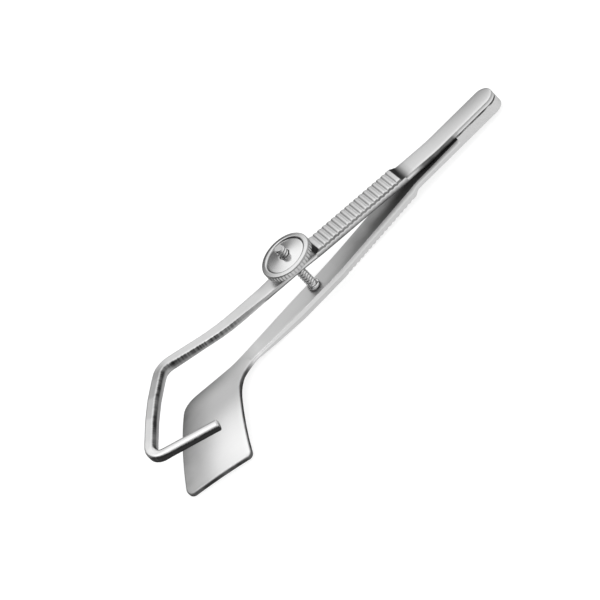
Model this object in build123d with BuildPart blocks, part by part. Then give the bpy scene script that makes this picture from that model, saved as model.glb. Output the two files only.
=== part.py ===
from build123d import *
from math import atan2, cos, degrees, radians, sin, tan
import os

# Entropion forceps: two spring arms joined at the rear end. The lower arm ends in a curved lid plate, the
# upper arm in a bent wire frame that follows the plate's edge. A thumb nut on a standing screw closes them.
# Origin: on the surface it lies on, straight below the screw. X points to the plate, Z up. Millimetres.

# Lengths along the arms, counted from the screw's axis
rear_length = 53.2
land_length = 12.0
pad_length = 21.6
pad_setback = 5.6
seat_length = 6.0

# Arm sections
strap_width = 5.0
pad_width = 5.3
pad_rise = 0.65
pad_ramp = 1.2
edge_round = 0.25

# Serrations of the finger pads
groove_count = 17
groove_pitch = 1.2
groove_width = 0.7
groove_depth = 0.32

# Lower arm: its flat seat lies on the surface, and it rises to the joined rear end
seat_thickness = 2.1
seat_width = 4.9
seat_bend = 106.0
pad_slope = 3.1
strap_slope = 2.2
lower_strap = 1.65
lower_root = 2.0
neck_thickness = 1.05
neck_width = 3.8
neck_reach = 20.0

# Lid plate: plan of the blade, and the curve of its sheet
heel_reach = 35.5
heel_offset = 3.9
shoulder_reach = 23.0
throat_reach = 23.2
plate_length = 25.1
plate_depth = 16.3
plate_heading = 56.9
plate_corner = 101.0
heel_round = 4.5
toe_round = 1.7
tip_round = 1.2
throat_round = 9.0
curl_heading = 62.0
curl_rise = 8.5
curl_radius = 62.0
curl_sweep = 34.0
flare_radius = 28.0

# Upper arm: height of the joined faces, opening, neck and wire frame
arm_height = 4.0
arm_clearance = 0.03
arm_angle = 7.4
front_angle = 4.9
upper_level = 8.7
spring_bend = 53.0
upper_strap = 1.3
upper_root = 1.1
waist_thickness = 1.1
upper_reach = 10.0
neck_lap = 1.0
upper_neck_width = 3.7
throttle_reach = 19.0
throttle_width = 3.0
throttle_height = 1.6
throttle_round = 0.5
throttle_level = 11.15
frame_lead = 6.6
frame_bend = 14.0
frame_wire = 2.5
frame_flat = 2.3
frame_round = 1.1
frame_reach = 33.6
frame_level = 12.7
frame_length = 25.4
frame_depth = 15.5
frame_heading = 53.0
frame_corner = 105.8
frame_lift = 0.6
frame_fall = 1.7
frame_crown = 1.8
frame_heel_round = 3.4
frame_crown_round = 60.0
frame_toe_round = 2.2

# Screw
screw_radius = 1.1
screw_length = 13.1
screw_chamfer = 0.25
collar_radius = 1.45
collar_height = 1.0
collar_bevel = 0.35
tenon_radius = 0.8
tenon_depth = 1.3
fit_clearance = 0.02
slot_clearance = 0.2
slot_travel = 0.8

# Thumb nut
nut_radius = 5.72
nut_thickness = 1.6
rim_round = 1.0
rim_drop = 0.5
dish_radius = 4.45
dish_depth = 0.36
dish_groove = 0.16
dish_cone = 0.4
hub_radius = 2.5
hub_height = 1.3
flute_count = 44
flute_width = 0.5
flute_depth = 0.22
bore_clearance = 0.05
seat_clearance = 0.06

# Places that follow from the dimensions
rear_x = -rear_length
land_x = rear_x + land_length
pad_front_x = -pad_setback
pad_rear_x = pad_front_x - pad_length
step_x = pad_rear_x - pad_ramp
pad_middle_x = (pad_front_x + pad_rear_x) / 2
span = 2 * rear_length


def heading(angle):
    """Unit step in plan, at an angle from the X axis."""
    return Vector(cos(radians(angle)), sin(radians(angle)))


def rounded_outline(corners):
    """Closed outline from corners given as x, y and corner radius."""
    points = [(x, y) for x, y, radius in corners]
    FilletPolyline(*points, radius=[radius for x, y, radius in corners], close=True)


def arm_plan(front_x, front_width, middle):
    """Plan of an arm: round rear end, wider finger pad and tapering front."""
    half = strap_width / 2
    side = [(front_x, front_width / 2)] + middle
    side += [(pad_front_x, pad_width / 2), (pad_rear_x, pad_width / 2)]
    side += [(step_x - pad_ramp, half), (rear_x + half, half)]
    other = [(x, -y) for x, y in reversed(side)]
    Polyline(*side)
    ThreePointArc(side[-1], (rear_x, 0), other[0])
    Polyline(*other)
    Line(other[-1], side[0])


def serrations(level, slope):
    """Section of the V grooves across a pad whose outer face passes the pad's middle at a level."""
    along = (cos(radians(slope)), 0, sin(radians(slope)))
    half = groove_width / 2
    with BuildSketch(Plane(origin=(pad_middle_x, 0, level), x_dir=along, z_dir=(0, -1, 0))) as grooves:
        with GridLocations(groove_pitch, 1, groove_count, 1):
            Polygon((-half, 0), (0, -groove_depth), (half, 0), (0, groove_depth), align=None)
    return grooves.sketch


def pad_face(x):
    """Height of the lower pad's outer face, which rises to the rear."""
    return (pad_front_x - x) * tan(radians(pad_slope))


def strap_face(x):
    """Height of the lower strap's outer face behind its pad, which falls to the rear."""
    return pad_face(step_x) + pad_rise - (step_x - x) * tan(radians(strap_slope))


def joined_face(x):
    """Height of the face that the two arms are joined on."""
    return arm_height + (x - land_x) * tan(radians(strap_slope))


def upper_face(x):
    """Height of the upper arm's inner face ahead of its bend: it breaks to a lower angle at the screw."""
    return upper_level + x * tan(radians(front_angle if x > 0 else arm_angle))


def upper_back(x):
    """Height of the upper strap's outer face ahead of its bend, without the pad."""
    if x > 0:
        return upper_face(x) + waist_thickness
    return upper_face(x) + waist_thickness + (upper_strap - waist_thickness) * x / step_x


def root_back(x):
    """Height of the upper strap's outer face along the land, behind its bend."""
    return joined_face(x) + arm_clearance + upper_root


# Lid plate and the front of its neck: a sheet that curls along the plate, cut to the plan of the blade.
# The sheet is flat in the neck, flares upward and then curls down over the plate.
heel = Vector(heel_reach, -heel_offset)
toe = heel + plate_length * heading(plate_heading)
tip = toe + plate_depth * heading(plate_heading + plate_corner)
blade_root = neck_reach - seat_length
root_half = (neck_width + (seat_width - neck_width) * seat_length / blade_root) / 2
with BuildPart() as blade:
    curl = heading(curl_heading)
    ruling = heading(curl_heading - 90)
    with BuildSketch(Plane(origin=(heel.X, heel.Y, 0), x_dir=tuple(curl), z_dir=tuple(ruling))):
        with BuildLine():
            level = seat_thickness - neck_thickness / 2
            flat = Line((-span, level), (-flare_radius * sin(radians(curl_rise)), level))
            flare = JernArc(flat @ 1, (1, 0), flare_radius, curl_rise)
            JernArc(flare @ 1, flare % 1, curl_radius, -curl_sweep)
        trace(line_width=neck_thickness)
    extrude(amount=span, both=True)
    with BuildSketch():
        with BuildLine():
            rounded_outline(
                [
                    (blade_root, root_half, 0),
                    (blade_root, -root_half, 0),
                    (neck_reach, -neck_width / 2, 0),
                    (shoulder_reach, -neck_width / 2, heel_round),
                    (heel.X, heel.Y, heel_round),
                    (toe.X, toe.Y, toe_round),
                    (tip.X, tip.Y, tip_round),
                    (throat_reach, neck_width / 2, throat_round),
                ]
            )
        make_face()
    extrude(amount=span, mode=Mode.INTERSECT)

with BuildPart() as lower_arm:
    # Side view: land at the rear, strap, stepped pad, flat seat and tapering neck
    with BuildSketch(Plane.XZ):
        with BuildLine():
            rounded_outline(
                [
                    (rear_x, strap_face(rear_x), 0),
                    (step_x, strap_face(step_x), pad_rise),
                    (pad_rear_x, pad_face(pad_rear_x), 0),
                    (pad_front_x, 0, 0),
                    (seat_length, 0, 0),
                    (neck_reach, seat_thickness - neck_thickness, 0),
                    (neck_reach, seat_thickness, 0),
                    (pad_front_x, seat_thickness, seat_bend),
                    (step_x, strap_face(step_x) + lower_strap, 0),
                    (land_x, strap_face(land_x) + lower_root, 0),
                    (land_x, joined_face(land_x), 0),
                    (rear_x, joined_face(rear_x), 0),
                ]
            )
        make_face()
    extrude(amount=pad_width, both=True)
    with BuildSketch():
        with BuildLine():
            arm_plan(neck_reach, neck_width, [(seat_length, seat_width / 2)])
        make_face()
    extrude(amount=span, mode=Mode.INTERSECT)
    grooves = serrations(pad_face(pad_middle_x), -pad_slope)
    extrude(grooves, amount=pad_width, both=True, mode=Mode.SUBTRACT)
    add(blade.part)
    # Blind seat of the screw's tenon
    with BuildSketch(Plane.XY.offset(seat_thickness)):
        Circle(tenon_radius + fit_clearance)
    extrude(amount=-tenon_depth - fit_clearance, mode=Mode.SUBTRACT)

with BuildPart() as upper_arm:
    # Side view: along the land, then a rise with a stepped pad and a break at the screw
    parting = tan(radians(arm_angle)) - tan(radians(strap_slope))
    bend_x = (joined_face(0) + arm_clearance - upper_level) / parting
    bend_level = joined_face(bend_x) + arm_clearance
    crest_rise = upper_back(0) - root_back(0)
    crest_x = step_x * crest_rise / (crest_rise - upper_back(step_x) + root_back(step_x))
    with BuildSketch(Plane.XZ):
        with BuildLine():
            rounded_outline(
                [
                    (rear_x, joined_face(rear_x) + arm_clearance, 0),
                    (bend_x, bend_level, spring_bend),
                    (0, upper_face(0), spring_bend),
                    (upper_reach, upper_face(upper_reach), 0),
                    (upper_reach, upper_back(upper_reach), 0),
                    (0, upper_back(0), spring_bend),
                    (pad_front_x + pad_ramp, upper_back(pad_front_x + pad_ramp), 0),
                    (pad_front_x, upper_back(pad_front_x) + pad_rise, 0),
                    (pad_rear_x, upper_back(pad_rear_x) + pad_rise, 0),
                    (step_x, upper_back(step_x), pad_rise),
                    (crest_x, root_back(crest_x), spring_bend - upper_root),
                    (rear_x, root_back(rear_x), 0),
                ]
            )
        make_face()
    extrude(amount=pad_width, both=True)
    with BuildSketch():
        with BuildLine():
            arm_plan(upper_reach, upper_neck_width, [])
        make_face()
    extrude(amount=span, mode=Mode.INTERSECT)
    pad_run = pad_front_x - pad_rear_x
    pad_incline = degrees(atan2(upper_back(pad_front_x) - upper_back(pad_rear_x), pad_run))
    grooves = serrations(upper_back(pad_middle_x) + pad_rise, pad_incline)
    extrude(grooves, amount=pad_width, both=True, mode=Mode.SUBTRACT)
    # Slot that clears the screw while the arm closes
    with BuildSketch(Plane.XY):
        with Locations((-slot_travel / 2, 0)):
            SlotCenterToCenter(slot_travel, 2 * (screw_radius + slot_clearance))
    extrude(amount=span, mode=Mode.SUBTRACT)

    # Neck, drawn out from the flat arm to the round wire and bent to the side
    root_x = upper_reach - neck_lap
    root = Vector(root_x, 0, upper_face(root_x) + waist_thickness / 2)
    throttle = Vector(throttle_reach, 0, throttle_level)
    frame_heel = Vector(frame_reach, -(frame_reach - throttle_reach) * tan(radians(frame_bend)), frame_level)
    share = frame_lead / (frame_reach - throttle_reach)
    start = frame_heel - (frame_heel - throttle) * share
    straight = (throttle - root).normalized()
    lead = (frame_heel - start).normalized()
    for place, along, width, height, corner in (
        (root, straight, upper_neck_width, waist_thickness, edge_round),
        (throttle, (straight + lead).normalized(), throttle_width, throttle_height, throttle_round),
        (start, lead, frame_wire, frame_flat, frame_round),
    ):
        with BuildSketch(Plane(origin=place, x_dir=Vector(0, 0, 1).cross(along), z_dir=along)):
            RectangleRounded(width, height, corner)
    loft()

    # Wire frame: a crowned run along the plate's length, then the short end over its tip
    frame_toe = frame_heel + frame_length * heading(frame_heading) + Vector(0, 0, frame_lift)
    frame_tip = frame_toe + frame_depth * heading(frame_heading + frame_corner) - Vector(0, 0, frame_fall)
    crown = (frame_heel + frame_toe) / 2 + Vector(0, 0, frame_crown)
    with BuildLine() as frame_line:
        corners = [frame_heel_round, frame_crown_round, frame_toe_round]
        FilletPolyline(start, frame_heel, crown, frame_toe, frame_tip, radius=corners)
    with BuildSketch(Plane(origin=start, x_dir=Vector(0, 0, 1).cross(lead), z_dir=lead)):
        RectangleRounded(frame_wire, frame_flat, frame_round)
    sweep(path=frame_line.line)

with BuildPart() as clamp_screw:
    # Turned screw: tenon, bevelled collar at the foot and straight shank
    foot = seat_thickness
    with BuildSketch(Plane.XZ):
        with BuildLine():
            end = foot + screw_length
            Polyline(
                (0, foot - tenon_depth),
                (tenon_radius, foot - tenon_depth),
                (tenon_radius, foot),
                (screw_radius, foot),
                (collar_radius, foot + collar_bevel),
                (collar_radius, foot + collar_height - collar_bevel),
                (screw_radius, foot + collar_height),
                (screw_radius, end - screw_chamfer),
                (screw_radius - screw_chamfer, end),
                (0, end),
                (0, foot - tenon_depth),
            )
        make_face()
    revolve(axis=Axis.Z)

with BuildPart() as thumb_nut:
    # Turned disc on a hub that bears on the upper arm, with a twice chamfered rim and a low cone in its dish
    hub_level = upper_back(hub_radius) + seat_clearance
    disc_level = hub_level + hub_height
    rim_level = disc_level + nut_thickness
    knee = 1 - cos(radians(45))
    bore = screw_radius + bore_clearance
    floor = rim_level - dish_depth
    with BuildSketch(Plane.XZ):
        with BuildLine():
            Polyline(
                (bore, hub_level),
                (hub_radius, hub_level),
                (hub_radius, disc_level),
                (nut_radius, disc_level),
                (nut_radius, rim_level - rim_drop),
                (nut_radius - rim_round * knee, rim_level - rim_drop * knee),
                (nut_radius - rim_round, rim_level),
                (dish_radius + dish_groove, rim_level - dish_groove),
                (dish_radius, floor - dish_groove),
                (dish_radius - dish_groove, floor),
                (bore, floor + dish_cone),
                (bore, hub_level),
            )
        make_face()
    revolve(axis=Axis.Z)
    with BuildSketch(Plane.XY.offset(disc_level)):
        side = flute_width / 2
        with PolarLocations(nut_radius, flute_count):
            Polygon((0, side), (-flute_depth, 0), (0, -side), (flute_depth, 0), align=None)
    extrude(amount=nut_thickness - rim_drop, mode=Mode.SUBTRACT)

lower_arm.part.label = "lower_arm"
upper_arm.part.label = "upper_arm"
clamp_screw.part.label = "clamp_screw"
thumb_nut.part.label = "thumb_nut"

os.makedirs("parts", exist_ok=True)
export_step(lower_arm.part, "parts/lower_arm.step")
export_step(upper_arm.part, "parts/upper_arm.step")
export_step(clamp_screw.part, "parts/clamp_screw.step")
export_step(thumb_nut.part, "parts/thumb_nut.step")
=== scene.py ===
from math import cos, pi, radians, sin, tan
import bpy
import numpy as np
from mathutils import Matrix, Vector


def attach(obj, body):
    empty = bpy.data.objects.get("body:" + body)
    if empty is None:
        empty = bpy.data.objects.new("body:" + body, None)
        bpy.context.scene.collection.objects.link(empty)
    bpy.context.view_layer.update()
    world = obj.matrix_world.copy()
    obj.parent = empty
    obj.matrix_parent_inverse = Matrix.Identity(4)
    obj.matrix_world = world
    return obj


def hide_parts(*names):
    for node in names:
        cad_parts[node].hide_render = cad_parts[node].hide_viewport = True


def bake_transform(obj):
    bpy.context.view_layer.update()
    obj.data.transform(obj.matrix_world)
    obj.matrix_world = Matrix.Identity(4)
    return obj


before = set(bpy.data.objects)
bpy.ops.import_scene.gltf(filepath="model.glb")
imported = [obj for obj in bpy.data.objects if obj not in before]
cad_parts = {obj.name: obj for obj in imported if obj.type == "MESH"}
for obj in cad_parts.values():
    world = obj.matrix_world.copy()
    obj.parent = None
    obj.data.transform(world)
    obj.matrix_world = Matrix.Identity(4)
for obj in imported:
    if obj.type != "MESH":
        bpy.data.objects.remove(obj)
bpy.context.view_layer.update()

# Lower arm. One forging of stainless steel: rear strap with the land that the other arm is welded to,
# stepped finger pad with milled V grooves, flat seat of the screw, and a neck beaten out into the thin
# lid plate. The plate is curled over a former, its edges are stoned round, and the whole is satin finished.
MM = 0.001  # lengths are in millimetres up to the mesh, apart from the surroundings
rear_x = -53.2
land_x = -41.2
step_x = -28.4
widening_x = step_x - 1.2
pad_rear_x = -27.2
pad_front_x = -5.6
pad_foot_x = pad_front_x + 1.2
pad_middle_x = (pad_rear_x + pad_front_x) / 2
pad_lip_round = 0.08
strap_half = 2.5
lower_strap = 1.65
lower_root = 2.0
pad_half = 2.65
pad_rise = 0.65
edge_round = 0.16
face_crown = 0.05
strap_slope = tan(radians(2.2))
pad_slope = tan(radians(3.1))
groove_count = 17
groove_pitch = 1.2
groove_width = 0.8
groove_depth = 0.25
groove_softness = 0.18
groove_floor = 0.8
seat_length = 6.0
seat_half = 2.45
seat_thickness = 2.1
seat_round = 30.0
neck_reach = 20.0
neck_half = 1.9
neck_thickness = 1.05
shoulder = (23.0, -1.9)
heel = (35.5, -3.9)
throat = (23.2, 1.9)
plate_length = 25.1
plate_depth = 16.3
plate_heading = radians(56.9)
plate_corner = radians(101.0)
heel_round = 4.5
throat_round = 9.0
toe_round = 1.7
tip_round = 1.2
plate_edge = 0.3
flank_seam = 0.02
weld_seam_drop = 0.1
curl_heading = radians(62.0)
curl_rise = radians(8.5)
curl_radius = 62.0
flare_radius = 28.0
plate_camber = 0.25
joint_level = 4.0
inner_round = 106.4

# How closely the mesh follows these sizes
fine_step = 0.1
groove_rows = (-1.2, -1.05, -0.9, -0.6, -0.12, 0.12, 0.6, 0.9, 1.05, 1.2)
edge_points = 8
edge_band = 0.34
edge_limit = 0.48
edge_height_limit = 0.4
sharp_from = radians(38)
plate_columns = 13
plate_rings = 44
toe_depths = (3.0, 2.4, 1.8, 1.3, 0.9, 0.6, 0.4, 0.28, 0.2, 0.13, 0.08, 0.04, 0.02, 0.01)
blade_from, blade_to = 13.0, neck_reach + 2
plate_edge_from, plate_edge_to = 10.0, 24.0

# Where handling has polished the edges, and where shade is painted: darker inner faces, flanks, undersides
# and the plate's heel side
wear_width = 0.6
joint_tone = 0.85
joint_width = 0.16
land_ease = 0.1
inner_shade_x = (-34, -20, -10, 0, 10)
inner_shade_tones = (0.68, 0.6, 0.38, 0.18, 0)
bar_shade = 0.14
bar_flank_shade = 0.16
under_shade = 0.3
rim_shade_from, rim_shade_to = 21.0, 26.0
shadow_runs = (-14, -8, 0, 8, 25)
shadow_tones = (0, 0.3, 0.82, 0.82, 0.6)
shadow_from, shadow_to = -2.0, 8.5
heel_shade_share = 0.55
heel_shade_from, heel_shade_to = 22.0, 25.0


def rounded_path(corners, arc_step=radians(6)):
    """Points of an open path through corners of (point, radius); each corner is turned in an arc."""
    spots = [np.array(spot, float) for spot, radius in corners]
    path = [spots[0]]
    for before, here, after, (_, radius) in zip(spots, spots[1:], spots[2:], corners[1:]):
        into = (here - before) / np.linalg.norm(here - before)
        out = (after - here) / np.linalg.norm(after - here)
        turn = np.arccos(np.clip(into @ out, -1, 1))
        if radius == 0 or turn < 1e-4:
            path.append(here)
            continue
        middle = here + (out - into) / np.linalg.norm(out - into) * radius / cos(turn / 2)
        first = here - into * radius * tan(turn / 2)
        spoke = (first - middle) / radius
        for share in np.linspace(0, 1, max(3, int(turn / arc_step) + 2)):
            path.append(middle + radius * (spoke * cos(turn * share) + into * sin(turn * share)))
    path.append(spots[-1])
    return np.array(path)


def eased(low, high, value):
    """Share from 0 to 1 that rises smoothly while value goes from low to high."""
    share = np.clip((value - low) / (high - low), 0, 1)
    return share * share * (3 - 2 * share)


def joined_level(x):
    """Height of the face that the two arms are welded on."""
    return joint_level + (x - land_x) * strap_slope


def pad_level(x):
    """Height of the lower pad's outer face."""
    return (pad_front_x - x) * pad_slope


def strap_level(x):
    """Height of the lower strap's outer face, behind its pad."""
    return pad_level(step_x) + pad_rise - (step_x - x) * strap_slope


def grooves(x):
    """Depth of the milled V grooves of a finger pad, with the lips and roots a little rounded."""
    place = (x - pad_middle_x) / groove_pitch
    inside = np.abs(place) < groove_count / 2
    off = np.abs(place - np.round(place)) * groove_pitch
    wedge = 1 - off / (groove_width / 2)
    lip = np.maximum(wedge + groove_softness, 0) ** 2 / (4 * groove_softness)
    depth = np.where(wedge > groove_softness, wedge - groove_softness / 2, lip)
    return groove_depth * inside * np.minimum(depth, groove_floor)


def strap_stations(front_x):
    """Places along an arm's length where its outline or faces change, close together where they curve."""
    turn = np.radians(np.arange(4, 91, 7))
    places = list(rear_x + strap_half * (1 - np.cos(turn)))
    places += list(np.arange(rear_x + strap_half + 0.6, land_x, 1.1))
    places += [land_x - 0.02, land_x + 0.02]
    places += list(np.arange(land_x + 0.6, step_x - 1.4, 1.0))
    places += list(np.arange(widening_x, pad_rear_x + 0.21, fine_step))
    offsets = np.array(groove_rows) * (groove_width / 2)
    for index in range(groove_count):
        places += list(pad_middle_x + (index - (groove_count - 1) / 2) * groove_pitch + offsets)
    places += list(np.arange(pad_front_x - 0.2, pad_front_x + 1.3, fine_step))
    places += list(np.arange(pad_front_x + 1.5, front_x + 0.01, 0.6))
    return np.unique(np.round(places, 3))


def columns(width, corner, interior):
    """Places across a bar of some width, close together in its rounded edges."""
    corner = min(corner, width * edge_limit)
    edge = corner * (1 - np.cos(np.radians(np.linspace(0, 90, edge_points))))
    middle = np.linspace(corner, width - corner, interior + 2)[1:-1]
    return np.concatenate([edge, middle, width - edge[::-1]])


def bar_ring(row, high, low, seam):
    """Ring of points round a bar: top row, then under row, each with a point of a flank at both ends."""
    across = np.concatenate([row[:1], row, row[-1:]])
    above = np.concatenate([[seam + flank_seam], high, [seam + flank_seam]])
    below = np.concatenate([[seam - flank_seam], low, [seam - flank_seam]])
    return np.concatenate([np.column_stack([across, above]), np.column_stack([across, below])])


def bar_mask(above, below, upper_flank, lower_flank, near_share=1.0):
    """Mask values for a ring's points: faces, and the upper and lower part of its flanks, near and far."""
    upper_row = [[upper_flank * near_share], above, [upper_flank]]
    return np.concatenate(upper_row + [[lower_flank * near_share], below, [lower_flank]])


def edge_drop(depth, corner):
    """How far a face falls off towards its rounded edge, at some depth inside the outline."""
    inset = np.clip(corner - depth, 0, corner)
    return corner - np.sqrt(corner**2 - inset**2)


def joint_line(x, depth):
    """Mask of the uneven dark line where the two arms are welded, at some depth inside their outline."""
    reach = 1.1 + 0.5 * np.sin(1.9 * x) + 0.3 * np.sin(4.3 * x + 1)
    return joint_tone * np.clip(reach - depth / joint_width, 0, 1)


def outline_depth(points, outline):
    """Shortest distance in plan from each point to a closed outline."""
    run = np.roll(outline, -1, axis=0) - outline
    length = np.maximum((run**2).sum(axis=1), 1e-12)
    away = points[:, None] - outline[None]
    share = np.clip((away * run).sum(axis=2) / length, 0, 1)
    return np.linalg.norm(away - share[:, :, None] * run, axis=2).min(axis=1)


def steel_piece(name, points, faces, masks, sharp_angle):
    """Smooth-shaded object from points in millimetres, with its masks kept as attributes of the points."""
    mesh = bpy.data.meshes.new(name)
    mesh.from_pydata((np.array(points) * MM).tolist(), [], faces)
    mesh.validate()
    for label, values in masks.items():
        mask = mesh.attributes.new(label, "FLOAT", "POINT")
        mask.data.foreach_set("value", np.concatenate(values).astype(np.float32))
    mesh.shade_smooth()
    mesh.set_sharp_from_angle(angle=sharp_angle)
    piece = bpy.data.objects.new(name, mesh)
    bpy.context.scene.collection.objects.link(piece)
    return piece


def skin(name, rings, edge_mask, painted_shade_mask):
    """Closed piece from rings of equally many points, each ring its upper row and then its lower row."""
    count = len(rings[0]) // 2
    faces = []
    for ring in range(len(rings) - 1):
        near, far = ring * count * 2, (ring + 1) * count * 2
        for step in range(count - 1):
            faces.append((near + step, far + step, far + step + 1, near + step + 1))
            low = count + step
            faces.append((near + low, near + low + 1, far + low + 1, far + low))
        faces.append((near, near + count, far + count, far))
        faces.append((near + 2 * count - 1, near + count - 1, far + count - 1, far + 2 * count - 1))
    cap = [(1, 2, count + 2, count + 1, count, 0)]
    cap += [(step, step + 1, step + count + 1, step + count) for step in range(2, count - 3)]
    cap.append((count - 3, count - 2, count - 1, 2 * count - 1, 2 * count - 2, 2 * count - 3))
    last = (len(rings) - 1) * count * 2
    faces += cap + [tuple(last + corner for corner in reversed(face)) for face in cap]
    # The points keep a mask of edge wear and a mask of painted shade
    masks = {"edge_mask": edge_mask, "painted_shade_mask": painted_shade_mask}
    return steel_piece(name, np.concatenate(rings), faces, masks, sharp_from)


def sheet_level(x, y):
    """Height and tilt of the curled sheet's middle: flat in the neck, flared up, then curled down."""
    run = (x - heel[0]) * cos(curl_heading) + (y - heel[1]) * sin(curl_heading)
    base = seat_thickness - neck_thickness / 2
    flare_run = flare_radius * sin(curl_rise)
    lifted = np.clip(run + flare_run, 0, flare_run) / flare_radius
    level = base + flare_radius * (1 - np.sqrt(1 - lifted**2))
    tilt = np.clip(sin(curl_rise) - np.maximum(run, 0) / curl_radius, -0.95, 0.95)
    level = level + curl_radius * (np.sqrt(1 - tilt**2) - cos(curl_rise))
    slope = np.where(run > 0, tilt, lifted)
    across = (y - heel[1]) * cos(plate_heading) - (x - heel[0]) * sin(plate_heading)
    bowed = np.clip(1 - (2 * across / plate_depth - 1) ** 2, 0, 1)
    level = level + plate_camber * bowed * eased(-6, 4, run)
    return level, np.sqrt(1 - slope**2)


toe = (heel[0] + plate_length * cos(plate_heading), heel[1] + plate_length * sin(plate_heading))
end_heading = plate_heading + plate_corner
tip = (toe[0] + plate_depth * cos(end_heading), toe[1] + plate_depth * sin(end_heading))
end_middle = (np.array(toe) + np.array(tip)) / 2
heel_corners = [((neck_reach, -neck_half), 0), (shoulder, heel_round), (heel, heel_round), (toe, toe_round)]
heel_side = rounded_path(heel_corners + [(end_middle, 0)])[:-1]
throat_corners = [((neck_reach, neck_half), 0), (throat, throat_round), (tip, tip_round)]
throat_side = rounded_path(throat_corners + [(end_middle, 0)])[:-1]


def walk(path, share):
    """Points of a path at shares of its length."""
    length = np.concatenate([[0], np.cumsum(np.linalg.norm(np.diff(path, axis=0), axis=1))])
    at = np.asarray(share) * length[-1]
    return np.stack([np.interp(at, length, path[:, axis]) for axis in range(path.shape[1])], axis=-1)


def share_at(path, depth):
    """Share of a blade side's length at which it is at some depth from the plate's far edge."""
    across = np.array([-sin(end_heading), cos(end_heading)])
    shares = np.linspace(0.6, 1, 1200)
    away = np.abs((walk(path, shares) - np.array(toe)) @ across)
    return np.interp(-depth, -away, shares)


def half_width(x, front_places, front_halves):
    """Half width of an arm in plan: half-round rear end, strap, pad, and the front as given."""
    places = [rear_x + strap_half, widening_x, pad_rear_x, pad_front_x] + front_places
    width = np.interp(x, places, [strap_half, strap_half, pad_half, pad_half] + front_halves)
    back = np.clip(rear_x + strap_half - x, 0, strap_half)
    return np.where(back > 0, np.sqrt(strap_half**2 - back**2), width)


def lower_faces(x):
    """Heights of the lower arm's under face and top face."""
    under = rounded_path(
        [
            ((rear_x, strap_level(rear_x)), 0),
            ((step_x, strap_level(step_x)), pad_rise),
            ((pad_rear_x, pad_level(pad_rear_x)), pad_lip_round),
            ((pad_front_x, 0.0), 0),
            ((seat_length, 0.0), seat_round),
            ((neck_reach, seat_thickness - neck_thickness), 0),
        ]
    )
    top = rounded_path(
        [
            ((rear_x, joined_level(rear_x)), 0),
            ((land_x - 0.01, joined_level(land_x)), 0),
            ((land_x + 0.01, strap_level(land_x) + lower_root), 0),
            ((step_x, strap_level(step_x) + lower_strap), 0),
            ((pad_front_x, seat_thickness), inner_round),
            ((neck_reach, seat_thickness), 0),
        ]
    )
    low = np.interp(x, under[:, 0], under[:, 1]) + grooves(x)
    return low, np.interp(x, top[:, 0], top[:, 1])


def lower_sides():
    """Near and far end of every row across the lower arm, from its rear end to the plate's far edge."""
    strap_x = strap_stations(neck_reach - 0.5)
    half = half_width(strap_x, [seat_length, neck_reach], [seat_half, neck_half])
    sides = []
    for strap_y, path in ((-half, heel_side), (half, throat_side)):
        shares = share_at(path, np.array(toe_depths))
        body = np.linspace(0, 1, plate_rings)[:-1] * shares[0]
        strap = np.stack([strap_x, strap_y], -1)
        sides.append(np.concatenate([strap, walk(path, body), walk(path, shares)]))
    return sides


def lower_painted_shade(x, start, width, from_heel, depth, corner, blade):
    """Painted shade mask of one ring of the lower arm: shade painted on its faces above and below, and on
    its flanks.
    """
    inner = np.interp(x, inner_shade_x, inner_shade_tones)
    inner = np.maximum(inner * eased(land_x - land_ease, land_x + land_ease, x), bar_shade * (1 - blade))
    seam = joint_line(x, depth) * eased(land_x + land_ease, land_x - land_ease, x)
    run = (start - np.array(heel)) @ np.array([cos(plate_heading), sin(plate_heading)])
    shadow = np.interp(run, shadow_runs, shadow_tones)
    shadow = shadow * (1 - eased(shadow_from, shadow_to, from_heel)) * blade
    open_end = float(eased(heel_shade_from, heel_shade_to, run))
    near_share = heel_shade_share + (1 - heel_shade_share) * open_end
    rim = float(eased(rim_shade_from, rim_shade_to, x.mean()))
    flank = np.clip(1 - depth / corner, 0, 1) ** 1.5 * rim * np.where(from_heel < width / 2, near_share, 1)
    above = np.maximum(np.maximum(flank, inner), np.maximum(seam, shadow))
    upper_flank = max(rim, bar_flank_shade * (1 - blade.mean()))
    below = np.maximum(flank, under_shade)
    return bar_mask(above, below, upper_flank, max(rim, under_shade), near_share)


def build_lower_arm():
    """Lower arm and lid plate in one skin, its rows square across the strap and slanted over the plate."""
    near, far = lower_sides()
    outline = np.concatenate([near, far[::-1]])
    rings, masks, painted_shades = [], [], []
    for start, end in zip(near, far):
        width = np.linalg.norm(end - start)
        row = start + (end - start) * (columns(width, edge_band, plate_columns) / width)[:, None]
        depth = outline_depth(row, outline)
        x, y = row[:, 0], row[:, 1]
        corner = edge_round + (plate_edge - edge_round) * eased(plate_edge_from, plate_edge_to, x)
        low, high = lower_faces(np.minimum(x, neck_reach))
        middle, upright = sheet_level(x, y)
        thick = neck_thickness / 2 / upright
        blade = eased(blade_from, blade_to, x)
        low = low + (middle - thick - low) * blade
        high = np.maximum(high, middle + thick) * (1 - blade) + (middle + thick) * blade
        corner = np.minimum(corner, (high - low) * edge_height_limit)
        fall = edge_drop(depth, corner)
        from_heel = np.linalg.norm(row - start, axis=1)
        crown = face_crown * (2 * from_heel / width - 1) ** 2 * (1 - blade)
        seam_level = (high[0] + low[0]) / 2
        if x[0] < land_x:
            seam_level = high[0] - edge_round - weld_seam_drop
        rings.append(bar_ring(row, high - fall - crown, low + fall, seam_level))
        near_edge = np.clip(1 - depth / wear_width, 0, 1)
        masks.append(bar_mask(near_edge, near_edge, 1, 1))
        # Painted shade on this ring: inner face, flanks, underside and the plate's heel side
        painted_shades.append(lower_painted_shade(x, start, width, from_heel, depth, corner, blade))
    return skin("lower_arm_forging", rings, masks, painted_shades)


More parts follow.
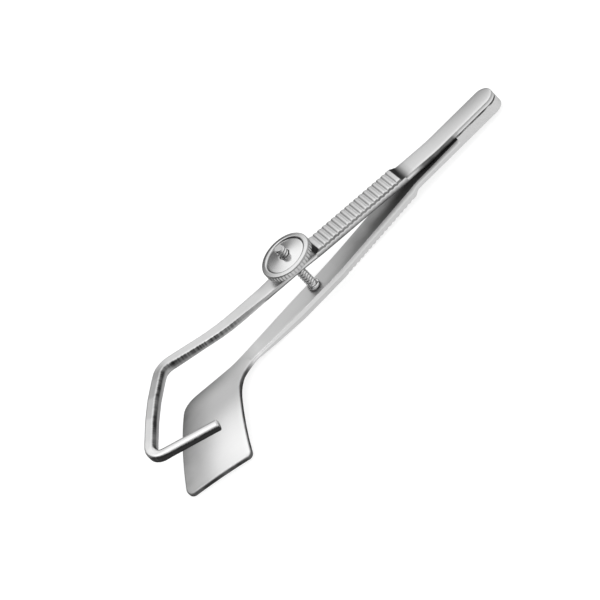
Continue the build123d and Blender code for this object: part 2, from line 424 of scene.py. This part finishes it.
lower_piece = build_lower_arm()
grain_fineness = 9000.0
patch_fineness = 220.0
drawn_along = (0.05, 1.0, 1.0)
even_grain = (1.0, 1.0, 1.0)
relief_depth = 0.00001
mark_tint, patch_tint, wear_tint, middle_tint = 0.05, 0.06, 0.08, 0.07
mark_gloss, patch_gloss, wear_gloss, shade_gloss, middle_gloss = 0.06, 0.08, -0.08, 0.12, 0.10
# Painted shade: how far the shade mask darkens the colour and roughens the surface
shade_break, shade_middle = 0.6, 0.7
shade_darkening = 0.95
grazing_share = 0.75


def put(tree, kind, **settings):
    """Node of a kind, with its properties set."""
    node = tree.nodes.new(kind)
    for name, value in settings.items():
        setattr(node, name, value)
    return node


def math_node(tree, operation, first, second, clamp=False):
    """Math node whose inputs are sockets or numbers; returns its output."""
    node = put(tree, "ShaderNodeMath", operation=operation, use_clamp=clamp)
    for place, value in zip(node.inputs, (first, second)):
        if isinstance(value, bpy.types.NodeSocket):
            tree.links.new(value, place)
        else:
            place.default_value = value
    return node.outputs[0]


def weighted_sum(tree, weights, offset):
    """Offset plus each socket times its weight, kept from 0 to 1."""
    total = None
    for source, weight in weights:
        part = math_node(tree, "MULTIPLY", source, weight)
        total = part if total is None else math_node(tree, "ADD", total, part)
    return math_node(tree, "ADD", total, offset, clamp=True)


def build_drawn_grain():
    """Fine parallel marks of the satin wheel, with slow patches of lighter and darker metal."""
    group = bpy.data.node_groups.new("drawn_grain", "ShaderNodeTree")
    for name, into, kind in (
        ("Position", "INPUT", "NodeSocketVector"),
        ("Stretch", "INPUT", "NodeSocketVector"),
        ("Fineness", "INPUT", "NodeSocketFloat"),
        ("Mark", "OUTPUT", "NodeSocketFloat"),
        ("Patch", "OUTPUT", "NodeSocketFloat"),
    ):
        group.interface.new_socket(name=name, in_out=into, socket_type=kind)
    entry = put(group, "NodeGroupInput")
    leave = put(group, "NodeGroupOutput")
    squeeze = put(group, "ShaderNodeVectorMath", operation="MULTIPLY")
    group.links.new(entry.outputs["Position"], squeeze.inputs[0])
    group.links.new(entry.outputs["Stretch"], squeeze.inputs[1])
    lines = put(group, "ShaderNodeTexNoise")
    lines.inputs["Detail"].default_value = 3.0
    group.links.new(squeeze.outputs[0], lines.inputs["Vector"])
    group.links.new(entry.outputs["Fineness"], lines.inputs["Scale"])
    patches = put(group, "ShaderNodeTexNoise")
    patches.inputs["Scale"].default_value = patch_fineness
    patches.inputs["Detail"].default_value = 2.0
    group.links.new(entry.outputs["Position"], patches.inputs["Vector"])
    group.links.new(lines.outputs["Fac"], leave.inputs["Mark"])
    group.links.new(patches.outputs["Fac"], leave.inputs["Patch"])
    return group


drawn_grain = build_drawn_grain()


def satin_steel(name, tone, roughness, stretch, grain_height, anisotropic=0.0):
    """Satin stainless steel: drawn grain in colour, roughness and relief, edges polished by handling,
    and painted shade, darker and a little rougher, on inner faces, flanks and undersides."""
    material = bpy.data.materials.new(name)
    material.use_nodes = True
    tree = material.node_tree
    surface = tree.nodes["Principled BSDF"]
    surface.inputs["Metallic"].default_value = 1.0
    surface.inputs["Specular Tint"].default_value = (tone * grazing_share,) * 3 + (1,)
    surface.inputs["Anisotropic"].default_value = anisotropic
    place = put(tree, "ShaderNodeTexCoord")
    grain = put(tree, "ShaderNodeGroup", node_tree=drawn_grain)
    grain.inputs["Stretch"].default_value = stretch
    grain.inputs["Fineness"].default_value = grain_fineness
    mark, patch = grain.outputs["Mark"], grain.outputs["Patch"]
    tree.links.new(place.outputs["Object"], grain.inputs["Position"])
    edges = put(tree, "ShaderNodeAttribute", attribute_name="edge_mask")
    # Shade is painted from this mask: the colour is darkened and the roughness raised where it is set
    painted_shade_node = put(tree, "ShaderNodeAttribute", attribute_name="painted_shade_mask")
    worn = math_node(tree, "MULTIPLY", edges.outputs["Fac"], patch, clamp=True)
    broken = math_node(tree, "ADD", math_node(tree, "MULTIPLY", patch, shade_break), shade_middle)
    shade_share = math_node(tree, "MULTIPLY", painted_shade_node.outputs["Fac"], broken, clamp=True)
    tints = [(mark, mark_tint), (patch, patch_tint), (worn, wear_tint)]
    bare = weighted_sum(tree, tints, tone - middle_tint)
    kept = math_node(tree, "SUBTRACT", 1.0, math_node(tree, "MULTIPLY", shade_share, shade_darkening))
    shade = math_node(tree, "MULTIPLY", bare, kept)
    colour = put(tree, "ShaderNodeCombineColor")
    for channel in range(3):
        tree.links.new(shade, colour.inputs[channel])
    tree.links.new(colour.outputs[0], surface.inputs["Base Color"])
    glosses = [(mark, mark_gloss), (patch, patch_gloss), (worn, wear_gloss), (shade_share, shade_gloss)]
    gloss = weighted_sum(tree, glosses, roughness - middle_gloss)
    tree.links.new(gloss, surface.inputs["Roughness"])
    relief = put(tree, "ShaderNodeBump")
    relief.inputs["Strength"].default_value = grain_height
    relief.inputs["Distance"].default_value = relief_depth
    tree.links.new(mark, relief.inputs["Height"])
    tree.links.new(relief.outputs[0], surface.inputs["Normal"])
    return material


arm_steel = satin_steel("arm_satin_steel", 0.80, 0.50, drawn_along, grain_height=0.08)
lower_piece.data.materials.append(arm_steel)
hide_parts("lower_arm")
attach(lower_piece, "lower_half")

# Upper arm. The same strap and grooved pad, opened away from the lower arm so that it springs back, then
# drawn down from the flat into round wire. The wire is bent to the side, crowned along the plate's length
# and turned back over its end, where it is cut square and dressed.
arm_slope = tan(radians(7.4))
front_slope = tan(radians(4.9))
upper_level = 8.7
weld_gap = 0.03
upper_strap = 1.3
upper_root = 1.1
waist_thickness = 1.1
spring_bend = 53.0
upper_reach = 9.0
upper_neck_half = 1.85
upper_neck_x = 10.0
upper_end_x = 12.0
upper_columns = 5
neck_bend_point = (19.0, 0.0, 11.15)
neck_bend_round = 30.0
frame_bend = tan(radians(14.0))
frame_reach = 33.6
frame_level = 12.7
frame_length = 25.4
frame_depth = 15.5
frame_heading = radians(53.0)
frame_corner = radians(105.8)
frame_lift = 0.6
frame_fall = 1.7
frame_crown = 1.8
frame_heel_round = 3.4
frame_crown_round = 60.0
frame_toe_round = 2.2
wire_stations = (0, 6, 10, 15, 21, 26, 47, 50, 53, 70)
wire_widths = (3.74, 3.25, 3.0, 2.65, 2.45, 2.4, 2.4, 2.35, 2.4, 2.4)
wire_heights = (1.1, 1.5, 1.6, 1.7, 2.1, 2.2, 2.2, 2.25, 2.35, 2.4)
inner_corners = (0.16, 0.2, 0.25, 0.35, 0.5, 0.7, 0.7, 0.9, 1.15, 1.15)
outer_corners = (0.16, 0.2, 0.25, 0.3, 0.3, 0.3, 0.3, 0.8, 1.15, 1.15)
# Painted shade on the wire: how dark, and below what tilt of its faces the shade begins, along its length
wire_shade = (0.5, 0.65, 0.8, 0.85, 0.85, 0.9, 0.9, 1.0, 1.15, 1.15)
flank_share = (1.0, 1.0, 1.0, 1.0, 0.9, 0.5, 0.5, 1.0, 1.0, 1.0)
inner_shade_from = (0.6, 0.75, 0.75, 0.72, 0.8, 0.88, 0.88, 0.6, 0.3, 0.3)
outer_shade_from = (0.1, 0.1, 0.1, 0.1, 0.1, 0.1, 0.1, 0.75, 0.5, 0.45)
shade_jitter = (0.0, 0.05, 0.12, 0.14, 0.12, 0.04, 0.02, 0.02, 0.02, 0.02)
shade_swing = 1.7
shade_softness = 0.14
wire_top_shade = (0.0, 0.0, 0.0, 0.05, 0.08, 0.0, 0.0, 0.02, 0.06, 0.06)
wire_wear = 0.25
wire_ring_count = 220
wire_start = 0.012
tip_dress = 0.3
pad_seam_rise = 0.05
# Painted shade on the upper strap: in the pad's steps, on the spring's, neck's and pad's flanks, at the
# edges, on the inner face and towards the rear
pad_ramp_shade, pad_front_shade = 0.97, 0.9
spring_shade, neck_shade, pad_flank_shade, edge_shade, inner_face_shade = 0.8, 0.45, 0.75, 0.5, 0.95
spring_shade_from, spring_shade_to = -29, -33
neck_shade_from, neck_shade_to = 1, 6
rear_shade = 0.32
rear_shade_from, rear_shade_to = -36, -51
slot_half_width = 1.3
slot_travel = 0.8
slot_levels = (7.0, 12.0)


def upper_inner(x):
    """Height of the upper arm's inner face ahead of its bend; it breaks to a lower angle at the screw."""
    return upper_level + x * np.where(np.asarray(x) > 0, front_slope, arm_slope)


def upper_outer(x):
    """Height of the upper strap's outer face ahead of its bend, without the pad."""
    taper = (upper_strap - waist_thickness) * np.minimum(x, 0) / step_x
    return upper_inner(x) + waist_thickness + taper


def upper_faces(x):
    """Heights of the upper arm's inner face and outer face."""
    bend_x = (joined_level(0) + weld_gap - upper_level) / (arm_slope - strap_slope)
    bend_level = joined_level(bend_x) + weld_gap
    root = joined_level(0) + weld_gap + upper_root
    rise = upper_outer(0.0) - root
    crest_x = step_x * rise / (rise - upper_outer(step_x) + root + step_x * strap_slope)
    inner = rounded_path(
        [
            ((rear_x, joined_level(rear_x) + weld_gap), 0),
            ((bend_x, bend_level), spring_bend),
            ((0.0, upper_level), spring_bend),
            ((upper_end_x, float(upper_inner(upper_end_x))), 0),
        ]
    )
    outer = rounded_path(
        [
            ((rear_x, root + rear_x * strap_slope), 0),
            ((crest_x, root + crest_x * strap_slope), spring_bend / 2),
            ((step_x, float(upper_outer(step_x))), pad_rise),
            ((pad_rear_x, float(upper_outer(pad_rear_x)) + pad_rise), pad_lip_round),
            ((pad_front_x, float(upper_outer(pad_front_x)) + pad_rise), pad_lip_round),
            ((pad_foot_x, float(upper_outer(pad_foot_x))), 0),
            ((0.0, float(upper_outer(0.0))), spring_bend),
            ((upper_end_x, float(upper_outer(upper_end_x))), 0),
        ]
    )
    high = np.interp(x, outer[:, 0], outer[:, 1]) - grooves(x)
    return np.interp(x, inner[:, 0], inner[:, 1]), high


def frame_path():
    """Middle line of the neck and the wire, from the flat arm to the wire's cut end."""
    root = np.array([upper_reach, 0.0, float(upper_inner(upper_reach)) + waist_thickness / 2])
    neck_bend = np.array(neck_bend_point)
    bend = np.array([frame_reach, -(frame_reach - neck_bend[0]) * frame_bend, frame_level])
    along = np.array([cos(frame_heading), sin(frame_heading), 0.0])
    toe_bend = bend + frame_length * along + np.array([0, 0, frame_lift])
    back = frame_heading + frame_corner
    cut = toe_bend + frame_depth * np.array([cos(back), sin(back), 0.0]) - np.array([0, 0, frame_fall])
    crown = (bend + toe_bend) / 2 + np.array([0, 0, frame_crown])
    corners = [(root, 0), (neck_bend, neck_bend_round), (bend, frame_heel_round)]
    corners += [(crown, frame_crown_round), (toe_bend, frame_toe_round), (cut, 0)]
    return rounded_path(corners)


def strap_painted_shade(x, y, depth, on_pad):
    """Painted shade mask of one ring of the upper strap: shade painted into the pad's steps, on its inner
    face and flanks and towards its rear, and the dark line of the weld.
    """
    step = pad_ramp_shade * eased(step_x - 2.0, pad_rear_x - 0.5, x)
    step = step * eased(pad_rear_x + 0.1, pad_rear_x - 0.1, x)
    front = pad_front_shade * eased(pad_front_x - 0.05, pad_front_x + 0.1, x)
    front = front * eased(pad_front_x + 1.5, pad_front_x + 1.1, x)
    sprung = float(eased(land_x - 0.6, land_x + 0.4, x))
    spring = spring_shade * float(eased(spring_shade_from, spring_shade_to, x)) * sprung
    neck = neck_shade * float(eased(neck_shade_from, neck_shade_to, x))
    joint = joint_line(x, depth) * float(eased(land_x + land_ease, land_x - land_ease, x))
    flank = np.clip(1 - depth / edge_round, 0, 1)
    upper_flank = max(spring, neck, pad_flank_shade * on_pad)
    heel = rear_shade * eased(rear_shade_from, rear_shade_to, x) * eased(strap_half, -strap_half, y)
    above = np.maximum(np.maximum(max(upper_flank, edge_shade) * flank, float(step + front)), heel)
    below = np.maximum(joint, inner_face_shade * sprung)
    return bar_mask(above, below, upper_flank, max(spring, neck))


def strap_rings():
    """Rings and masks of the upper arm's flat part, up to the root of its neck."""
    rings, masks, painted_shades = [], [], []
    places = strap_stations(upper_reach)
    half = half_width(places, [upper_neck_x], [upper_neck_half])
    ends = np.append(places, upper_reach + 5)
    sides = np.append(half, half[-1])
    outline = np.concatenate([np.stack([ends, -sides], -1), np.stack([ends, sides], -1)[::-1]])
    for x, side in zip(places, half):
        y = columns(2 * side, edge_round, upper_columns) - side
        row = np.stack([np.full(len(y), x), y], -1)
        depth = outline_depth(row, outline)
        if x > rear_x + strap_half:
            depth = np.minimum(depth, side - np.abs(y))
        low, high = upper_faces(np.array(x))
        fall = edge_drop(depth, edge_round)
        on_pad = float(eased(step_x, pad_rear_x, x) * eased(pad_foot_x, pad_front_x, x))
        seam_level = (high + low) / 2
        if x < land_x:
            seam_level = low + edge_round + weld_seam_drop
        elif on_pad > 0:
            seam_level = max(high - pad_rise * on_pad, low + edge_round + pad_seam_rise)
        crown = face_crown * (y / side) ** 2
        rings.append(bar_ring(row, high - fall - crown, low + fall, float(seam_level)))
        near_edge = np.clip(1 - depth / wear_width, 0, 1)
        masks.append(bar_mask(near_edge, near_edge, 1, 1))
        painted_shades.append(strap_painted_shade(x, y, depth, on_pad))
    return rings, masks, painted_shades


def wire_rings():
    """Rings and masks of the neck and the wire, from the flat arm to the wire's cut end."""
    rings, masks, painted_shades = [], [], []
    jitter = np.random.default_rng(5)
    wire_sizes = (wire_widths, wire_heights, inner_corners, outer_corners)
    wire_masks = (wire_shade, flank_share, inner_shade_from, outer_shade_from, shade_jitter, wire_top_shade)
    line = frame_path()
    total = np.linalg.norm(np.diff(line, axis=0), axis=1).sum()
    dress = tip_dress * (1 - np.cos(np.radians(np.arange(0, 91, 15))))[::-1] / total
    body = np.linspace(wire_start, 1 - tip_dress * 1.3 / total, wire_ring_count)
    shares = np.concatenate([body, 1 - dress])
    centres = walk(line, shares)
    ahead = walk(line, np.minimum(shares + 0.002, 1)) - walk(line, np.maximum(shares - 0.002, 0))
    for centre, along, share in zip(centres, ahead, shares):
        along = along / np.linalg.norm(along)
        side = np.cross([0, 0, 1.0], along)
        side = side / np.linalg.norm(side)
        upward = np.cross(along, side)
        width, height, inner, outer = [np.interp(share * total, wire_stations, row) for row in wire_sizes]
        inset = float(edge_drop((1 - share) * total, tip_dress))
        width, height = width - 2 * inset, height - 2 * inset
        across = columns(width, max(inner, outer), upper_columns) - width / 2
        corner = np.minimum(np.where(across > 0, inner, outer), min(width, height) * edge_limit)
        fall = edge_drop(width / 2 - np.abs(across), corner)
        level = height / 2 - fall
        flat = bar_ring(np.stack([across, across * 0], -1), level, -level, 0)
        rings.append(centre + flat[:, :1] * side + flat[:, 2:] * upward)
        masks.append(np.full(len(flat), wire_wear))
        # Painted shade on the wire's sides and underside, wherever its surface tilts below a set angle
        upright = 1 - fall / corner
        here = [np.interp(share * total, wire_stations, row) for row in wire_masks]
        level, flank, inner, outer, uneven, tone = here
        shake = jitter.uniform(-uneven, uneven)
        level = level * (1 + shade_swing * shake)
        shade_from = np.where(across > 0, inner, outer) + shake
        band = eased(shade_from + shade_softness, shade_from - shade_softness, upright)
        above = np.maximum(level * band, tone)
        under = level * flank * np.where(across > 0.2, 0.5, 1)
        painted_shades.append(bar_mask(above, under, level * flank, level * flank))
    return rings, masks, painted_shades


def cut_slot(piece):
    """Cut the slot that the screw stands in through the flat of the arm."""
    angles = np.radians(np.arange(0, 360, 10))
    shift = np.where(np.cos(angles) > 0, slot_travel, -slot_travel)
    round_x = slot_half_width * np.cos(angles) + shift
    round_y = slot_half_width * np.sin(angles)
    rows = [np.stack([round_x, round_y, np.full(len(angles), level)], -1) * MM for level in slot_levels]
    count = len(angles)
    faces = [tuple(range(count))[::-1], tuple(range(count, 2 * count))]
    for step in range(count):
        ahead = (step + 1) % count
        faces.append((step, ahead, count + ahead, count + step))
    shape = bpy.data.meshes.new("slot_cutter")
    shape.from_pydata(np.concatenate(rows).tolist(), [], faces)
    cutter = bpy.data.objects.new("slot_cutter", shape)
    bpy.context.scene.collection.objects.link(cutter)
    cut = piece.modifiers.new("slot", "BOOLEAN")
    cut.operation = "DIFFERENCE"
    cut.solver = "EXACT"
    cut.object = cutter
    depsgraph = bpy.context.evaluated_depsgraph_get()
    finished = bpy.data.meshes.new_from_object(piece.evaluated_get(depsgraph))
    piece.modifiers.clear()
    piece.data = finished
    finished.set_sharp_from_angle(angle=sharp_from)
    bpy.data.objects.remove(cutter)


def build_upper_arm():
    """Upper arm and wire in one skin, with the screw's slot cut through it."""
    rings, masks, painted_shades = (flat + wire for flat, wire in zip(strap_rings(), wire_rings()))
    piece = skin("upper_arm_and_wire", rings, masks, painted_shades)
    cut_slot(piece)
    return piece


upper_piece = build_upper_arm()
upper_steel = satin_steel("upper_satin_steel", 0.66, 0.40, drawn_along, grain_height=0.06)
upper_piece.data.materials.append(upper_steel)
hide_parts("upper_arm")
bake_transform(upper_piece)

# Clamp screw. Turned from stainless rod: a rounded collar that stands on the seat, and a shank cut with a
# fine thread up to a chamfered end a little way out of the nut. The blind tenon that holds it below the
# collar is not built.
screw_radius = 1.1
screw_foot = 2.1
screw_top = 15.2
collar_radius = 1.45
collar_height = 1.0
thread_pitch = 0.7
thread_depth = 0.15
thread_steepness = 2.5
thread_land = 0.12
thread_facets = 64
runout_gap = 0.35
runout_length = 0.4
end_chamfer = 0.25
end_face_step = 0.08
# Painted shade in the thread's roots and round the collar at the foot
thread_root_shade, foot_shade = 0.28, 0.6
foot_shade_from, foot_shade_to = 2.9, 2.3
turned_sharp_from = radians(40)


def turned(name, profile, radius_at, turns, shade_at):
    """Turned piece: rows of (radius, height) round the screw's axis, with the radius trimmed."""
    angles = np.linspace(0, 2 * pi, turns, endpoint=False)
    points, faces, painted_shades = [], [], []
    for radius, height in profile:
        trimmed = radius_at(radius, height, angles)
        points += list(zip(trimmed * np.cos(angles), trimmed * np.sin(angles), np.full(turns, height)))
        # Painted shade mask for each row of the profile
        painted_shades.append(shade_at(radius, height, radius - trimmed))
    for row in range(len(profile) - 1):
        for step in range(turns):
            other = (step + 1) % turns
            low, high = row * turns, (row + 1) * turns
            faces.append((low + step, low + other, high + other, high + step))
    if profile[0] != profile[-1]:
        last = (len(profile) - 1) * turns
        faces += [tuple(range(turns))[::-1], tuple(range(last, last + turns))]
    return steel_piece(name, points, faces, {"painted_shade_mask": painted_shades}, turned_sharp_from)


def build_screw():
    """Screw from its collar up, its shank in rows fine enough for the thread."""
    bead_rise = collar_radius - screw_radius
    shank_foot = screw_foot + collar_height
    chamfer_foot = screw_top - end_chamfer
    profile = []
    for angle in np.radians(np.arange(-80, 81, 16)):
        rise = collar_height / 2 * (1 + sin(angle))
        profile.append((screw_radius + bead_rise * cos(angle), screw_foot + rise))
    for height in np.arange(shank_foot, chamfer_foot, thread_pitch / 14):
        profile.append((screw_radius, height))
    for share in (0, 0.3, 0.6, 0.85, 1):
        profile.append((screw_radius - end_chamfer * share, screw_top - end_chamfer * (1 - share)))
    for radius in (screw_radius - end_chamfer - end_face_step, 0.45, 0.02):
        profile.append((radius, screw_top))
    thread_start = shank_foot + runout_gap

    def threaded(radius, height, angles):
        """Radius with the thread cut into the shank, running out above the collar and in the chamfer."""
        on_shank = radius > screw_radius - 0.01
        started = float(eased(thread_start, thread_start + runout_length, height) * on_shank)
        if height > chamfer_foot - 0.01:
            started = float(radius > screw_radius - end_chamfer * 0.7)
        wave = (height / thread_pitch - angles / (2 * pi)) % 1
        ridge = np.clip(np.abs(wave - 0.5) * thread_steepness - thread_land, 0, 1)
        return radius - thread_depth * ridge * started

    def painted_shade_at(radius, height, cut):
        """Shade painted into the thread's roots and round the foot."""
        foot = foot_shade * float(eased(foot_shade_from, foot_shade_to, height))
        return np.clip(cut / thread_depth * thread_root_shade, 0, thread_root_shade) + foot

    return turned("clamp_screw_threaded", profile, threaded, thread_facets, painted_shade_at)


screw_piece = build_screw()
screw_steel = satin_steel("screw_turned_steel", 0.60, 0.26, even_grain, grain_height=0.1)
screw_piece.data.materials.append(screw_steel)
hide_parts("clamp_screw")
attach(screw_piece, "lower_half")

# Thumb nut. Turned from stainless bar: a hub that bears on the upper arm, a disc whose top is a low cone
# inside a cut ring, a sloped and rounded rim, and a straight knurl pressed round its edge.
nut_radius = 5.72
nut_thickness = 1.6
rim_inner_radius = 4.75
rim_bevel_radius = 5.5
rim_bevel_drop = 0.11
rim_drop = 0.5
hub_radius = 2.5
hub_height = 1.3
hub_chamfer = 0.2
hub_fillet = 0.3
hub_clearance = 0.06
edge_chamfer = 0.26
dish_radius = 4.45
dish_depth = 0.26
dish_groove = 0.12
dish_cone = 0.13
dish_rows = 16
flute_count = 44
flute_depth = 0.12
flute_crest = 1.15
flute_steepness = 1.9
flute_facets = 12
bore_radius = 1.15
bore_chamfer = 0.25
# Painted shade in the flutes, on the wall, in the ring groove and on the rim
flute_shade, wall_shade, groove_shade = 0.3, 0.3, 0.45
nut_rim_shade, bevel_shade = 0.1, 0.4
hub_level = float(upper_outer(hub_radius)) + hub_clearance
disc_level = hub_level + hub_height
rim_level = disc_level + nut_thickness


def build_nut():
    """Nut round its closed profile: bore, hub, underside, fluted edge, rim, ring groove and dish."""
    floor = rim_level - dish_depth
    profile = [(bore_radius, hub_level + bore_chamfer), (bore_radius + bore_chamfer, hub_level)]
    profile += [(hub_radius - hub_chamfer, hub_level), (hub_radius - 0.06, hub_level + 0.04)]
    profile += [(hub_radius, hub_level + hub_chamfer), (hub_radius, disc_level - hub_fillet)]
    profile += [(hub_radius + 0.09, disc_level - 0.09), (hub_radius + hub_fillet, disc_level)]
    underside = np.linspace(hub_radius + 2 * hub_fillet, nut_radius - 0.5, 5)
    profile += [(radius, disc_level) for radius in underside]
    profile += [(nut_radius - edge_chamfer, disc_level), (nut_radius - 0.08, disc_level + 0.07)]
    profile += [(nut_radius, disc_level + 0.24), (nut_radius, disc_level + 0.42)]
    reach = nut_radius - rim_bevel_radius
    rise = rim_drop - rim_bevel_drop
    for angle in np.radians(np.arange(0, 79, 13)):
        profile.append((rim_bevel_radius + reach * cos(angle), rim_level - rim_drop + rise * sin(angle)))
    for radius in np.linspace(rim_bevel_radius, rim_inner_radius, 4):
        share = (radius - rim_inner_radius) / (rim_bevel_radius - rim_inner_radius)
        profile.append((radius, rim_level - rim_bevel_drop * share))
    groove_top = dish_radius + dish_groove
    profile += [(groove_top + 0.05, rim_level - 0.01), (groove_top, rim_level - 0.05)]
    profile += [(dish_radius + 0.04, floor - dish_groove + 0.05), (dish_radius - 0.02, floor - dish_groove)]
    profile += [(dish_radius - dish_groove, floor - 0.02), (dish_radius - dish_groove - 0.08, floor)]
    dish = np.linspace(dish_radius - 0.4, bore_radius + 0.3, dish_rows)
    profile += [(radius, floor + dish_cone * (dish_radius - dish_groove - radius)) for radius in dish]
    crest = floor + dish_cone * (dish_radius - bore_radius)
    profile += [(bore_radius + 0.12, crest - 0.05), (bore_radius, crest - 0.17), profile[0]]

    def knurled(radius, height, angles):
        """Radius with the straight knurl pressed into the edge, below the rim's slope."""
        reach = eased(nut_radius - 0.75, nut_radius - 0.1, radius) * (height < rim_level - 0.4)
        wave = np.abs((angles / (2 * pi) * flute_count) % 1 - 0.5) * 2
        return radius - flute_depth * float(reach) * np.clip(flute_crest - flute_steepness * wave, 0, 1)

    def painted_shade_at(radius, height, cut):
        """Shade painted into the flutes, on the wall, in the ring groove and on the rim's outer slope."""
        wall = wall_shade * float(eased(rim_level - 0.45, disc_level + 0.1, height))
        ring = groove_shade * float((abs(radius - dish_radius) < 0.2) and height < floor + 0.05)
        rim = float(height > rim_level - rim_drop) * float(radius > groove_top)
        sloped = float(eased(rim_bevel_radius, rim_bevel_radius + 0.1, radius))
        rounded = rim * (nut_rim_shade + bevel_shade * sloped)
        on_edge = wall_shade * float(radius > nut_radius - 0.1)
        side = on_edge * float(eased(rim_level - 0.35, rim_level - 0.6, height))
        return np.clip(cut / flute_depth, 0, 1) * flute_shade + max(wall, ring, side, rounded)

    return turned("thumb_nut_knurled", profile, knurled, flute_count * flute_facets, painted_shade_at)


nut_piece = build_nut()
nut_steel = satin_steel("nut_turned_steel", 0.63, 0.20, even_grain, grain_height=0.1, anisotropic=0.15)
nut_piece.data.materials.append(nut_steel)
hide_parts("thumb_nut")
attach(nut_piece, "nut")

# Surroundings. A plain white table and background, one soft lamp above the instrument, and a room with a
# bright window line that falls off to grey, which the steel shows in its lighter and darker parts.
half_floor = 1.5
floor_drop = 0.00002
floor_glow = 0.72
floor_paint = (0.8, 0.8, 0.8, 1)
floor_shade = (0.4, 0.4, 0.4, 1)
window_line = Vector((-0.45, 0.1, 0.9)).normalized()
room_heights = (0.05, 0.20, 0.35, 0.46, 0.60, 0.72, 0.89)
room_tones = (0.03, 0.09, 0.28, 0.57, 0.87, 0.94, 0.42)
room_gain = 1.7
horizon_from, horizon_to = 0.03, 0.06


def seen_white(tree, shown, lit):
    """Shows one shader to the camera and in reflections, and lets another take the light."""
    path = put(tree, "ShaderNodeLightPath")
    seen = math_node(tree, "MAXIMUM", path.outputs["Is Camera Ray"], path.outputs["Is Glossy Ray"])
    seen = math_node(tree, "MAXIMUM", seen, path.outputs["Is Transmission Ray"])
    mix = put(tree, "ShaderNodeMixShader")
    tree.links.new(seen, mix.inputs[0])
    tree.links.new(lit, mix.inputs[1])
    tree.links.new(shown, mix.inputs[2])
    return mix.outputs[0]


floor_mesh = bpy.data.meshes.new("table_top")
floor_corners = [(-1, -1), (1, -1), (1, 1), (-1, 1)]
floor_points = [(x * half_floor, y * half_floor, -floor_drop) for x, y in floor_corners]
floor_mesh.from_pydata(floor_points, [], [(0, 1, 2, 3)])
floor = bpy.data.objects.new("table_top", floor_mesh)
bpy.context.scene.collection.objects.link(floor)
floor_material = bpy.data.materials.new("table_white")
floor_material.use_nodes = True
floor_tree = floor_material.node_tree
floor_surface = floor_tree.nodes["Principled BSDF"]
floor_surface.inputs["Base Color"].default_value = floor_paint
floor_surface.inputs["Roughness"].default_value = 0.9
floor_white = put(floor_tree, "ShaderNodeEmission")
floor_white.inputs["Strength"].default_value = floor_glow
floor_soft = put(floor_tree, "ShaderNodeBsdfDiffuse")
floor_soft.inputs["Color"].default_value = floor_shade
floor_shown = put(floor_tree, "ShaderNodeAddShader")
floor_tree.links.new(floor_white.outputs[0], floor_shown.inputs[0])
floor_tree.links.new(floor_soft.outputs[0], floor_shown.inputs[1])
floor_out = floor_tree.nodes["Material Output"]
floor_mix = seen_white(floor_tree, floor_shown.outputs[0], floor_surface.outputs[0])
floor_tree.links.new(floor_mix, floor_out.inputs[0])
floor_mesh.materials.append(floor_material)

world = bpy.data.worlds.new("studio")
bpy.context.scene.world = world
world.use_nodes = True
world_tree = world.node_tree
room = world_tree.nodes["Background"]
room.inputs["Strength"].default_value = 1.0
direction = put(world_tree, "ShaderNodeTexCoord")
parts = put(world_tree, "ShaderNodeSeparateXYZ")
world_tree.links.new(direction.outputs["Generated"], parts.inputs[0])
facing = put(world_tree, "ShaderNodeVectorMath", operation="DOT_PRODUCT")
facing.inputs[1].default_value = window_line
world_tree.links.new(direction.outputs["Generated"], facing.inputs[0])
ramp = put(world_tree, "ShaderNodeValToRGB")
for index, (height, tone) in enumerate(zip(room_heights, room_tones)):
    if index < 2:
        stop = ramp.color_ramp.elements[index]
        stop.position = height
    else:
        stop = ramp.color_ramp.elements.new(height)
    stop.color = (tone, tone, tone, 1)
world_tree.links.new(facing.outputs["Value"], ramp.inputs[0])
horizon = put(world_tree, "ShaderNodeMapRange")
horizon.inputs["From Min"].default_value = horizon_from
horizon.inputs["From Max"].default_value = horizon_to
world_tree.links.new(parts.outputs["Z"], horizon.inputs["Value"])
backdrop = put(world_tree, "ShaderNodeMix", data_type="RGBA")
backdrop.inputs["A"].default_value = (1, 1, 1, 1)
world_tree.links.new(horizon.outputs[0], backdrop.inputs["Factor"])
lit_room = put(world_tree, "ShaderNodeVectorMath", operation="SCALE")
lit_room.inputs["Scale"].default_value = room_gain
world_tree.links.new(ramp.outputs[0], lit_room.inputs[0])
world_tree.links.new(lit_room.outputs[0], backdrop.inputs["B"])
world_tree.links.new(backdrop.outputs["Result"], room.inputs["Color"])


def soft_lamp(name, place, aim, width, height, power):
    """Large soft panel lamp at a place, turned to an aim point."""
    lamp = bpy.data.lights.new(name, "AREA")
    lamp.shape = "RECTANGLE"
    lamp.size = width
    lamp.size_y = height
    lamp.energy = power
    stand = bpy.data.objects.new(name, lamp)
    stand.location = place
    stand.rotation_mode = "QUATERNION"
    stand.rotation_quaternion = (Vector(aim) - Vector(place)).to_track_quat("-Z", "Y")
    bpy.context.scene.collection.objects.link(stand)


soft_lamp("overhead_panel", (0.2, 0.1, 1.2), (0, 0, 0), 1.0, 1.0, 2.7)

# Camera. It stands back along the photograph's line of sight with a long lens, as a catalogue picture of
# a small instrument is taken, and has no blur of depth.
picture_width = 0.12121
camera_distance = 2.0
sensor_width = 36.0
aim_point = Vector((0.004063, -0.001321, 0.001510))
right_line = Vector((-0.69, 0.447, -0.57)).normalized()
back_line = Vector((0.05, 0.814, 0.58)).normalized()
up_line = back_line.cross(right_line).normalized()
right_line = up_line.cross(back_line)
lens = bpy.data.cameras.new("photo_camera")
lens.sensor_width = sensor_width
lens.lens = sensor_width * camera_distance / picture_width
lens.clip_start = 0.1
lens.clip_end = 20.0
camera = bpy.data.objects.new("photo_camera", lens)
turn = Matrix((right_line, up_line, back_line)).transposed()
camera.matrix_world = Matrix.Translation(aim_point + back_line * camera_distance) @ turn.to_4x4()
bpy.context.scene.collection.objects.link(camera)
bpy.context.scene.camera = camera

bpy.context.scene.view_settings.view_transform = "Standard"
